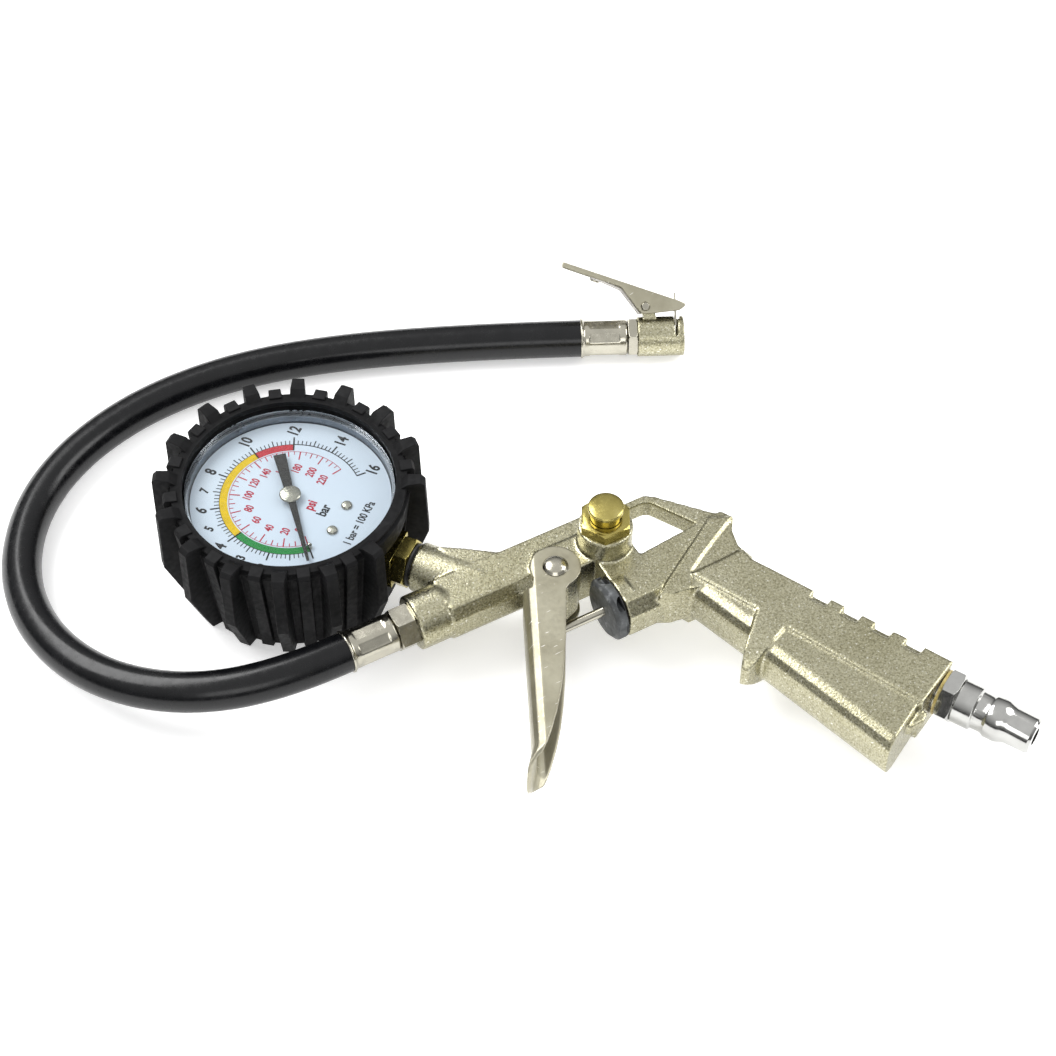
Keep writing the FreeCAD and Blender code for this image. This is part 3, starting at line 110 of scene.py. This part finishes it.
class Nodes:
    """A material's node tree with short calls for what is used here."""

    def __init__(self, name, base, metallic, roughness):
        self.material = bpy.data.materials.new(name)
        self.material.use_nodes = True
        self.tree = self.material.node_tree
        self.shader = self.tree.nodes["Principled BSDF"]
        self.set("Base Color", (*base, 1.0))
        self.set("Metallic", metallic)
        self.set("Roughness", roughness)
        self.where = self.tree.nodes.new("ShaderNodeTexCoord").outputs["Object"]
        self.bump = None

    def set(self, socket, value):
        self.shader.inputs[socket].default_value = value

    def link(self, source, target):
        self.tree.links.new(source, target)

    def noise(self, scale, detail=3.0, roughness=0.5, stretch=None):
        node = self.tree.nodes.new("ShaderNodeTexNoise")
        node.inputs["Scale"].default_value = scale
        node.inputs["Detail"].default_value = detail
        node.inputs["Roughness"].default_value = roughness
        source = self.where
        if stretch:
            mapping = self.tree.nodes.new("ShaderNodeMapping")
            mapping.inputs["Scale"].default_value = stretch
            self.link(source, mapping.inputs["Vector"])
            source = mapping.outputs["Vector"]
        self.link(source, node.inputs["Vector"])
        return node.outputs["Fac"]

    def ramp(self, source, *stops):
        node = self.tree.nodes.new("ShaderNodeValToRGB")
        elements = node.color_ramp.elements
        while len(elements) < len(stops):
            elements.new(0.5)
        for element, (at, colour) in zip(elements, stops):
            element.position = at
            element.color = (*colour, 1.0)
        self.link(source, node.inputs["Fac"])
        return node.outputs["Color"]

    def levels(self, source, low, high, to_low, to_high):
        """Stretch the values from low to high over to_low to to_high, and clamp the rest."""
        node = self.tree.nodes.new("ShaderNodeMapRange")
        for socket, value in (("From Min", low), ("From Max", high), ("To Min", to_low),
                              ("To Max", to_high)):
            node.inputs[socket].default_value = value
        self.link(source, node.inputs["Value"])
        return node.outputs["Result"]

    def mix(self, factor, first, second, kind="MIX"):
        """Mix two colours; each of the three may be a value or another node's output."""
        node = self.tree.nodes.new("ShaderNodeMix")
        node.data_type = "RGBA"
        node.blend_type = kind
        for value, socket in ((factor, node.inputs[0]), (first, node.inputs[6]),
                              (second, node.inputs[7])):
            if isinstance(value, bpy.types.NodeSocket):
                self.link(value, socket)
            elif isinstance(value, tuple):
                socket.default_value = (*value, 1.0)
            else:
                socket.default_value = value
        return node.outputs[2]

    def colour(self, source):
        self.link(source, self.shader.inputs["Base Color"])

    def rough(self, source):
        self.link(source, self.shader.inputs["Roughness"])

    def relief(self, source, depth_mm, strength=1.0):
        """Add a bump; each new one builds on the last."""
        node = self.tree.nodes.new("ShaderNodeBump")
        node.inputs["Strength"].default_value = strength
        node.inputs["Distance"].default_value = depth_mm * MM
        self.link(source, node.inputs["Height"])
        if self.bump:
            self.link(self.bump, node.inputs["Normal"])
        self.bump = node.outputs["Normal"]
        self.link(self.bump, self.shader.inputs["Normal"])

    def crevice(self):
        """How far a place is from a fold, 0 in a crease and 1 on an outside edge."""
        return self.tree.nodes.new("ShaderNodeNewGeometry").outputs["Pointiness"]


def cast_metal():
    look = Nodes("cast_body", (0.46, 0.435, 0.315), 1.0, 0.34)
    tint = look.ramp(look.noise(45.0, 3.0), (0.3, (0.42, 0.40, 0.28)),
                     (0.7, (0.54, 0.52, 0.395)))
    speck = look.ramp(look.noise(1750.0, 4.0, 0.65), (0.38, (0.42, 0.40, 0.31)),
                      (0.50, (0.84, 0.83, 0.76)), (0.60, (1.0, 1.0, 0.98)))
    base = look.mix(0.8, tint, speck, "MULTIPLY")
    glint = look.levels(look.noise(1300.0, 2.0, 0.5), 0.64, 0.70, 0.0, 0.7)
    base = look.mix(glint, base, (0.90, 0.89, 0.80))
    # Creases are darkened towards near black brown: grime in the step lines, and painted shade
    # where the creases would lie in shadow.
    grime_and_crease_shade = look.levels(look.crevice(), 0.40, 0.487, 1.0, 0.0)
    base = look.mix(grime_and_crease_shade, base, (0.10, 0.085, 0.05))
    worn = look.levels(look.crevice(), 0.55, 0.66, 0.0, 0.2)
    look.colour(look.mix(worn, base, (0.72, 0.71, 0.62)))
    look.rough(look.levels(look.noise(1400.0, 2.0), 0.3, 0.7, 0.20, 0.38))
    look.relief(look.noise(260.0, 2.0), 0.08, 0.35)
    look.relief(look.noise(1600.0, 4.0, 0.6), 0.11, 0.9)
    return look.material


def pressed_metal():
    look = Nodes("pressed_steel", (0.36, 0.34, 0.26), 1.0, 0.38)
    tint = look.ramp(look.noise(70.0, 4.0, 0.6), (0.35, (0.31, 0.29, 0.215)),
                     (0.65, (0.41, 0.39, 0.30)))
    scratch = look.levels(look.noise(240.0, 2.0, 0.5, (1.0, 7.0, 1.0)), 0.70, 0.73, 0.0, 0.8)
    base = look.mix(scratch, tint, (0.88, 0.86, 0.80))
    worn = look.levels(look.crevice(), 0.55, 0.66, 0.0, 0.8)
    look.colour(look.mix(worn, base, (0.84, 0.82, 0.75)))
    look.rough(look.levels(look.noise(900.0, 3.0), 0.3, 0.7, 0.34, 0.48))
    look.relief(look.noise(1500.0, 2.0), 0.02, 0.5)
    return look.material


def bright_metal(name, base, roughness, fine=0.01):
    look = Nodes(name, base, 1.0, roughness)
    low = tuple(0.86 * part for part in base)
    look.colour(look.ramp(look.noise(160.0, 3.0), (0.35, low), (0.65, base)))
    look.rough(look.levels(look.noise(700.0, 3.0), 0.3, 0.7, roughness * 0.7, roughness * 1.4))
    look.relief(look.noise(800.0, 2.0), fine, 0.5)
    return look.material


def brass_metal():
    look = Nodes("brass", (0.46, 0.39, 0.13), 1.0, 0.22)
    look.colour(look.ramp(look.noise(120.0, 4.0, 0.6), (0.3, (0.36, 0.30, 0.085)),
                          (0.55, (0.47, 0.40, 0.13)), (0.75, (0.55, 0.48, 0.19))))
    look.rough(look.levels(look.noise(900.0, 3.0), 0.3, 0.7, 0.14, 0.30))
    look.relief(look.noise(900.0, 2.0, 0.5, (1.0, 1.0, 5.0)), 0.006, 0.6)
    return look.material


def slate_paint():
    look = Nodes("slate_metal", (0.075, 0.080, 0.083), 0.3, 0.42)
    look.colour(look.ramp(look.noise(300.0, 4.0, 0.65), (0.35, (0.050, 0.054, 0.056)),
                          (0.58, (0.095, 0.101, 0.105)), (0.72, (0.24, 0.25, 0.26))))
    look.rough(look.levels(look.noise(800.0, 3.0), 0.3, 0.7, 0.34, 0.52))
    look.relief(look.noise(700.0, 3.0), 0.03, 0.6)
    return look.material


def hose_rubber():
    look = Nodes("hose_rubber", (0.0025, 0.0027, 0.0032), 0.0, 0.22)
    look.set("Specular IOR Level", 0.34)
    look.colour(look.ramp(look.noise(90.0, 4.0, 0.6), (0.35, (0.0018, 0.0020, 0.0026)),
                          (0.7, (0.0040, 0.0042, 0.0050))))
    look.rough(look.levels(look.noise(420.0, 4.0, 0.6), 0.3, 0.75, 0.17, 0.32))
    look.relief(look.noise(300.0, 3.0), 0.02, 0.6)
    return look.material


def boot_rubber():
    look = Nodes("boot_rubber", (0.0045, 0.0045, 0.005), 0.0, 0.62)
    look.set("Specular IOR Level", 0.13)
    dust = look.levels(look.crevice(), 0.51, 0.60, 0.0, 0.5)
    base = look.ramp(look.noise(240.0, 4.0, 0.6), (0.35, (0.0020, 0.0021, 0.0024)),
                     (0.7, (0.0050, 0.0051, 0.0056)))
    look.colour(look.mix(dust, base, (0.020, 0.020, 0.021)))
    look.rough(look.levels(look.noise(600.0, 3.0), 0.3, 0.7, 0.50, 0.72))
    look.relief(look.noise(1500.0, 3.0, 0.6), 0.03, 0.8)
    return look.material


def seal_rubber():
    look = Nodes("seal_rubber", (0.010, 0.010, 0.010), 0.0, 0.45)
    look.rough(look.levels(look.noise(900.0, 3.0), 0.3, 0.7, 0.38, 0.55))
    look.relief(look.noise(1200.0, 2.0), 0.01, 0.6)
    return look.material


def dial_paint():
    look = Nodes("dial_face", (0.57, 0.635, 0.71), 0.0, 0.32)
    look.set("Specular IOR Level", 0.2)
    look.colour(look.ramp(look.noise(30.0, 2.0), (0.35, (0.555, 0.62, 0.70)),
                          (0.7, (0.59, 0.65, 0.72))))
    look.rough(look.levels(look.noise(500.0, 3.0), 0.3, 0.7, 0.28, 0.36))
    look.relief(look.noise(900.0, 2.0), 0.004, 0.4)
    return look.material


def ink(name, base):
    look = Nodes(name, base, 0.0, 0.45)
    look.set("Specular IOR Level", 0.1)
    low = tuple(0.85 * part for part in base)
    look.colour(look.ramp(look.noise(700.0, 2.0), (0.4, low), (0.6, base)))
    return look.material


def pointer_paint():
    look = Nodes("pointer_paint", (0.020, 0.019, 0.018), 0.0, 0.5)
    look.set("Specular IOR Level", 0.15)
    look.colour(look.ramp(look.noise(1500.0, 3.0, 0.7), (0.4, (0.010, 0.0095, 0.009)),
                          (0.62, (0.030, 0.028, 0.025)), (0.74, (0.085, 0.080, 0.070))))
    look.relief(look.noise(1800.0, 2.0), 0.02, 0.6)
    return look.material


def clear_lens():
    look = Nodes("clear_lens", (0.97, 0.985, 1.0), 0.0, 0.03)
    clear = look.tree.nodes.new("ShaderNodeBsdfTransparent")
    clear.inputs["Color"].default_value = (0.965, 0.98, 0.985, 1.0)
    gloss = look.tree.nodes.new("ShaderNodeBsdfGlossy")
    look.link(look.levels(look.noise(120.0, 2.0), 0.3, 0.7, 0.02, 0.07), gloss.inputs["Roughness"])
    facing = look.tree.nodes.new("ShaderNodeFresnel")
    facing.inputs["IOR"].default_value = 1.45
    blend = look.tree.nodes.new("ShaderNodeMixShader")
    look.link(look.levels(facing.outputs["Fac"], 0.0, 1.0, 0.0, 0.42), blend.inputs["Fac"])
    look.link(clear.outputs["BSDF"], blend.inputs[1])
    look.link(gloss.outputs["BSDF"], blend.inputs[2])
    look.link(blend.outputs["Shader"],
              look.tree.nodes["Material Output"].inputs["Surface"])
    return look.material


def sealant():
    look = Nodes("sealant", (0.50, 0.38, 0.09), 0.0, 0.35)
    look.colour(look.ramp(look.noise(900.0, 4.0, 0.7), (0.35, (0.34, 0.24, 0.04)),
                          (0.65, (0.66, 0.54, 0.20))))
    look.relief(look.noise(1100.0, 3.0), 0.12, 0.9)
    return look.material


LOOKS = {
    "cast_body": cast_metal(),
    "pressed_steel": pressed_metal(),
    "bright_steel": bright_metal("bright_steel", (0.47, 0.45, 0.375), 0.20, 0.02),
    "chrome_plug": bright_metal("chrome_plug", (0.52, 0.52, 0.50), 0.12, 0.008),
    "brass": brass_metal(),
    "slate_metal": slate_paint(),
    "hose_rubber": hose_rubber(),
    "boot_rubber": boot_rubber(),
    "seal_rubber": seal_rubber(),
    "case_steel": bright_metal("case_steel", (0.30, 0.32, 0.35), 0.34, 0.002),
    "dial_face": dial_paint(),
    "pointer_paint": pointer_paint(),
    "clear_lens": clear_lens(),
    "spring_steel": bright_metal("spring_steel", (0.55, 0.53, 0.50), 0.28),
    "sealant": sealant(),
}
INKS = {
    "black": ink("ink_black", (0.012, 0.012, 0.014)),
    "red": ink("ink_red", (0.45, 0.016, 0.045)),
    "green": ink("ink_green", (0.010, 0.22, 0.040)),
    "yellow": ink("ink_yellow", (0.70, 0.46, 0.0)),
    "scarlet": ink("ink_scarlet", (0.50, 0.026, 0.040)),
}

slot_of = {part["node"]: part["material_slot"] for part in frame["record"]["subparts"]}
body_of = {node: body for body, members in frame["record"]["behaviour"]["bodies"].items()
           for node in members}


def dress(piece, look):
    piece.data.materials.clear()
    piece.data.materials.append(look)


for node, thing in frame["nodes"].items():
    dress(thing, LOOKS[slot_of[node]])

# ---------------------------------------------------------------- pieces made from CAD nodes


def new_piece(name, mesh, body, slot, look=None):
    piece = bpy.data.objects.new(name, mesh)
    scene.collection.objects.link(piece)
    dress(piece, look or LOOKS[slot])
    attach(piece, body)
    return piece


SEAM = 0.002 * MM
SHARP = 32.0              # degrees from which an edge counts as sharp


def copy_of(node, flat_angle=0.2):
    """A node's mesh with its seams closed and its flat areas joined into single faces."""
    mesh = frame["nodes"][node].data.copy()
    work = bmesh.new()
    work.from_mesh(mesh)
    bmesh.ops.remove_doubles(work, verts=work.verts, dist=SEAM)
    bmesh.ops.dissolve_limit(work, angle_limit=math.radians(flat_angle), verts=work.verts,
                             edges=work.edges)
    work.to_mesh(mesh)
    work.free()
    return mesh


def standing_for(node, mesh):
    """A visible piece that takes the place of a CAD node, on the same body."""
    piece = new_piece(node + "_shape", mesh, body_of[node], slot_of[node])
    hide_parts(node)
    return piece


def round_edges(piece, width, sharp=SHARP, bevel_from=SHARP):
    """Shade the piece smooth between its sharp edges, and round those with a small bevel."""
    piece.data.polygons.foreach_set("use_smooth", [True] * len(piece.data.polygons))
    piece.data.set_sharp_from_angle(angle=math.radians(sharp))
    bevel = piece.modifiers.new("edges", "BEVEL")
    bevel.width = width * MM
    bevel.segments = 2
    bevel.limit_method = "ANGLE"
    bevel.angle_limit = math.radians(bevel_from)
    bevel.use_clamp_overlap = True
    bevel.harden_normals = True


def soften(node, voxel, rounds):
    """Show the node remeshed finely and smoothed, which rounds every edge as casting does."""
    piece = standing_for(node, frame["nodes"][node].data.copy())
    remesh = piece.modifiers.new("remesh", "REMESH")
    remesh.mode = "VOXEL"
    remesh.voxel_size = voxel * MM
    remesh.use_smooth_shade = True
    smooth = piece.modifiers.new("smooth", "SMOOTH")
    smooth.factor = 0.5
    smooth.iterations = rounds


for node, voxel, rounds in (
        ("gun_body", 0.40, 6), ("trigger", 0.28, 3), ("chuck_body", 0.28, 5),
        ("chuck_lever", 0.24, 3), ("outlet_ferrule", 0.22, 4), ("chuck_ferrule", 0.22, 4),
        ("chuck_spring", 0.22, 2)):
    soften(node, voxel, rounds)
for node, width in (
        ("outlet_fitting", 0.25), ("gauge_nut", 0.25), ("gauge_stem", 0.25), ("gauge_seal", 0.1),
        ("valve_gland", 0.3), ("bleed_bushing", 0.25), ("bleed_button", 0.25), ("air_plug", 0.2),
        ("chuck_tail", 0.25), ("chuck_jaw", 0.12), ("chuck_pin", 0.2), ("leaf_rivet", 0.15),
        ("trigger_rivet", 0.2), ("valve_stem", 0.15), ("pointer", 0.08), ("pointer_cap", 0.15),
        ("dial_screws", 0.12), ("gland_seal", 0.08), ("gauge_case", 0.15)):
    round_edges(standing_for(node, copy_of(node)), width)

# ---------------------------------------------------------------- gauge boot

GAUGE = middle("dial_plate")
STEM_ANGLE = math.radians(-52.4)
LUG_PITCH = math.radians(22.5)      # from one big lug to the next, with a small one between
FOOT, RIM = 31.7 * MM, 35.7 * MM    # the boot's radius between lugs, at the floor and the front
LUG_TOP = 34.6 * MM
LUG_LEAST = 0.2 * MM                # what stands out less than this is not part of a lug
LUG_DEPTH = 4.5 * MM
LUG_GROWTH = 0.9 * MM
LUG_TAPER, LUG_NARROWEST = 0.07 / MM, 0.72
RISE, RISE_FROM, RISE_OVER = 1.2 * MM, 20.0 * MM, 15.0 * MM
LIP_HEIGHT, LIP_RADIUS, LIP_WIDENING = 33.0 * MM, 31.5 * MM, 0.9 * MM


def shape_lug(reach, turn, out, height):
    """Draw a point of a lug in towards the lug's own middle line; gives its new x and y."""
    reach += LUG_GROWTH * min(1.0, out / LUG_DEPTH) * height / LUG_TOP
    step = round(turn / (LUG_PITCH / 2)) * LUG_PITCH / 2
    across = reach * math.sin(turn - step)
    along = reach * math.cos(turn - step)
    across *= max(LUG_NARROWEST, 1.0 - LUG_TAPER * out)
    middle_line = step + STEM_ANGLE
    return (GAUGE.x + along * math.cos(middle_line) - across * math.sin(middle_line),
            GAUGE.y + along * math.sin(middle_line) + across * math.cos(middle_line))


def gauge_boot():
    """The boot with its lugs drawn in towards their tips and its moulded edges rounded."""
    mesh = copy_of("gauge_boot", flat_angle=1.5)
    for vertex in mesh.vertices:
        vertex.co.z += RISE * max(0.0, vertex.co.z - RISE_FROM) / RISE_OVER
        x, y = vertex.co.x - GAUGE.x, vertex.co.y - GAUGE.y
        reach, turn = math.hypot(x, y), math.atan2(y, x) - STEM_ANGLE
        out = reach - (FOOT + (RIM - FOOT) * min(vertex.co.z, LUG_TOP) / LUG_TOP)
        if out >= LUG_LEAST:
            vertex.co.x, vertex.co.y = shape_lug(reach, turn, out, vertex.co.z)
        elif vertex.co.z > LIP_HEIGHT and reach < LIP_RADIUS:
            vertex.co.x += x / reach * LIP_WIDENING
            vertex.co.y += y / reach * LIP_WIDENING
    round_edges(standing_for("gauge_boot", mesh), 0.45, sharp=30.0, bevel_from=28.0)


gauge_boot()

# ---------------------------------------------------------------- dial print

UP = math.radians(128.1)            # which way the dial's lettering stands
ZERO = math.radians(-99.7)          # where both scales start; they run clockwise
PER_BAR = math.radians(16.531)
PER_PSI = PER_BAR * 0.0689476
BAND_IN, BAND_OUT = 18.8, 21.1      # radii in millimetres, as all that follow
PSI_OUT = 18.3
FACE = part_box("dial_plate")[1][2]
BAND_STEP = math.radians(3.0)
INK_LIFT = 0.02 * MM
INK_THICK = 0.04 * MM


def dial_point(reach, angle):
    return Vector((GAUGE.x + reach * MM * math.cos(angle), GAUGE.y + reach * MM * math.sin(angle),
                   FACE))


class Print:
    """One ink's shapes on the dial, gathered into a single thin mesh."""

    def __init__(self, name, look):
        self.name, self.look = name, look
        self.work = bmesh.new()

    def outline(self, points):
        """A thin flat solid over a closed outline that runs anticlockwise."""
        lower = [self.work.verts.new(point + Vector((0, 0, INK_LIFT))) for point in points]
        upper = [self.work.verts.new(point + Vector((0, 0, INK_LIFT + INK_THICK)))
                 for point in points]
        self.work.faces.new(upper)
        self.work.faces.new(lower[::-1])
        for near in range(len(points)):
            far = (near + 1) % len(points)
            self.work.faces.new((lower[near], lower[far], upper[far], upper[near]))

    def tick(self, angle, inner, outer, width):
        """A straight line of the scale, along a radius."""
        side = Vector((-math.sin(angle), math.cos(angle), 0)) * (width / 2 * MM)
        near, far = dial_point(inner, angle), dial_point(outer, angle)
        self.outline([near - side, far - side, far + side, near + side])

    def band(self, start, end, inner, outer):
        """A strip between two angles and two radii, in short straight lengths."""
        steps = max(2, int(abs(end - start) / BAND_STEP))
        for step in range(steps):
            first = start + (end - start) * step / steps
            last = start + (end - start) * (step + 1) / steps
            points = [dial_point(inner, first), dial_point(inner, last), dial_point(outer, last),
                      dial_point(outer, first)]
            self.outline(points if last > first else points[::-1])

    def words(self, text, at, size, weight, squeeze):
        """Letters in the built-in face, upright on the dial, made bolder and narrower."""
        curve = bpy.data.curves.new(self.name + "_letters", "FONT")
        curve.body = text
        curve.size = size * MM
        curve.align_x, curve.align_y = "CENTER", "CENTER"
        curve.offset = weight * MM
        curve.extrude = INK_THICK / 2
        curve.resolution_u = 4
        carrier = bpy.data.objects.new("letters", curve)
        scene.collection.objects.link(carrier)
        bpy.context.view_layer.update()
        mesh = bpy.data.meshes.new_from_object(
            carrier.evaluated_get(bpy.context.evaluated_depsgraph_get()))
        mesh.transform(Matrix.Diagonal((squeeze, 1.0, 1.0, 1.0)))
        mesh.transform(Matrix.Rotation(UP - math.pi / 2, 4, "Z"))
        mesh.transform(Matrix.Translation(at + Vector((0, 0, INK_LIFT + INK_THICK / 2))))
        self.work.from_mesh(mesh)
        bpy.data.objects.remove(carrier)
        bpy.data.curves.remove(curve)
        bpy.data.meshes.remove(mesh)

    def finish(self):
        bmesh.ops.recalc_face_normals(self.work, faces=self.work.faces)
        mesh = bpy.data.meshes.new(self.name)
        self.work.to_mesh(mesh)
        self.work.free()
        new_piece(self.name, mesh, "gun", "dial_face", self.look)


def at_bar(value):
    return ZERO - PER_BAR * value


def at_psi(value):
    return ZERO - PER_PSI * value


def centre_line(drop, aside=0.0):
    """A place below the dial's hub, in millimetres down the dial and across it."""
    across = UP - math.pi / 2
    return dial_point(-drop, UP) + Vector((math.cos(across), math.sin(across), 0)) * aside * MM


def print_bands():
    for name, start, end in (("green", 0.0, 4.0), ("yellow", 4.0, 10.0), ("scarlet", 10.0, 12.0)):
        strip = Print("dial_band_" + name, INKS[name])
        strip.band(at_bar(start), at_bar(end), BAND_IN, BAND_OUT)
        strip.finish()


def print_bar_scale():
    """A line every 0.2 bar, longer at each bar and longest at each second bar."""
    black = Print("dial_print_black", INKS["black"])
    black.band(at_bar(0.0), at_bar(12.0), BAND_OUT, 21.25)
    black.band(at_bar(12.0), at_bar(16.0), 21.0, 21.3)
    for count in range(81):
        value = count / 5.0
        if count % 10 == 0:
            inner = BAND_IN if value in (0, 4, 10, 12) else BAND_OUT
            black.tick(at_bar(value), inner, 24.0, 0.48)
        elif count % 5 == 0:
            black.tick(at_bar(value), BAND_OUT, 23.4, 0.34)
        else:
            black.tick(at_bar(value), BAND_OUT, 22.7, 0.28)
    for value in (2, 3, 4, 5, 6, 7, 8, 10, 12, 14, 16):
        reach, size = (25.9, 3.9) if value in (3, 5, 7) else (26.5, 5.0)
        black.words(str(value), dial_point(reach, at_bar(value)), size, 0.15, 0.74)
    black.words("bar", centre_line(11.1, -0.3), 4.3, 0.12, 0.76)
    black.words("1 bar = 100 KPa", centre_line(22.8, -0.6), 3.5, 0.08, 0.76)
    black.finish()


def print_psi_scale():
    """A line every 5 psi, longer every 10 and longest every 20."""
    red = Print("dial_print_red", INKS["red"])
    red.band(at_psi(0.0), at_psi(220.0), 18.25, 18.4)
    for count in range(45):
        if count % 4 == 0:
            inner, width = 15.2, 0.38
        elif count % 2 == 0:
            inner, width = 16.4, 0.30
        else:
            inner, width = 17.1, 0.22
        red.tick(at_psi(5 * count), inner, PSI_OUT, width)
    for value in range(0, 221, 20):
        reach = 12.6 if value < 160 else 11.6
        clear_of_pointer = 0.08 if value == 0 else 0.0
        red.words(str(value), dial_point(reach, at_psi(value) - clear_of_pointer), 3.5, 0.09,
                  0.68)
    red.words("psi", centre_line(6.6), 4.3, 0.13, 0.76)
    red.finish()


print_bands()
print_bar_scale()
print_psi_scale()

# ---------------------------------------------------------------- hose

dress(hose, LOOKS["hose_rubber"])
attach(hose, "gun")
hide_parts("hose")

# ---------------------------------------------------------------- floor and light

FLOOR_REACH = 3.0
FLOOR_GAP = 0.0002        # the floor lies this far under the object, so that nothing flickers

floor_mesh = bpy.data.meshes.new("floor")
floor_mesh.from_pydata(
    [(FLOOR_REACH * x, FLOOR_REACH * y, 0.0) for x, y in ((-1, -1), (1, -1), (1, 1), (-1, 1))],
    [], [(0, 1, 2, 3)])
floor = bpy.data.objects.new("floor", floor_mesh)
floor.location.z = -FLOOR_GAP
scene.collection.objects.link(floor)
paper = Nodes("paper", (0.88, 0.88, 0.88), 0.0, 0.9)
paper.set("Specular IOR Level", 0.1)
paper.set("Emission Color", (1.0, 1.0, 1.0, 1.0))
paper.set("Emission Strength", 0.42)
dress(floor, paper.material)


def studio_sky():
    """A grey sky that is dark at the horizon and white overhead."""
    world = bpy.data.worlds.new("studio")
    scene.world = world
    world.use_nodes = True
    nodes, links = world.node_tree.nodes, world.node_tree.links
    direction = nodes.new("ShaderNodeTexCoord").outputs["Generated"]
    height = nodes.new("ShaderNodeSeparateXYZ")
    links.new(direction, height.inputs["Vector"])
    grey = nodes.new("ShaderNodeValToRGB")
    for element, (at, level) in zip(grey.color_ramp.elements, ((0.12, 0.10), (0.85, 1.0))):
        element.position = at
        element.color = (level, level, level, 1.0)
    links.new(height.outputs["Z"], grey.inputs["Fac"])
    links.new(grey.outputs["Color"], nodes["Background"].inputs["Color"])
    nodes["Background"].inputs["Strength"].default_value = 0.95


def panel(name, at, size, power):
    """A soft rectangular light that looks at the middle of the object."""
    lamp = bpy.data.lights.new(name, "AREA")
    lamp.shape = "RECTANGLE"
    lamp.size, lamp.size_y = size
    lamp.energy = power
    thing = bpy.data.objects.new(name, lamp)
    scene.collection.objects.link(thing)
    thing.location = at
    thing.rotation_euler = (Vector((0, 0, 0.01)) - Vector(at)).to_track_quat("-Z", "Y").to_euler()


studio_sky()
panel("key", (-0.35, 0.55, 0.80), (0.9, 0.5), 10.0)
panel("side", (0.75, -0.25, 0.55), (0.5, 0.7), 5.0)
panel("front", (-0.45, -0.75, 0.60), (0.6, 0.4), 1.8)
scene.view_settings.view_transform = "Standard"
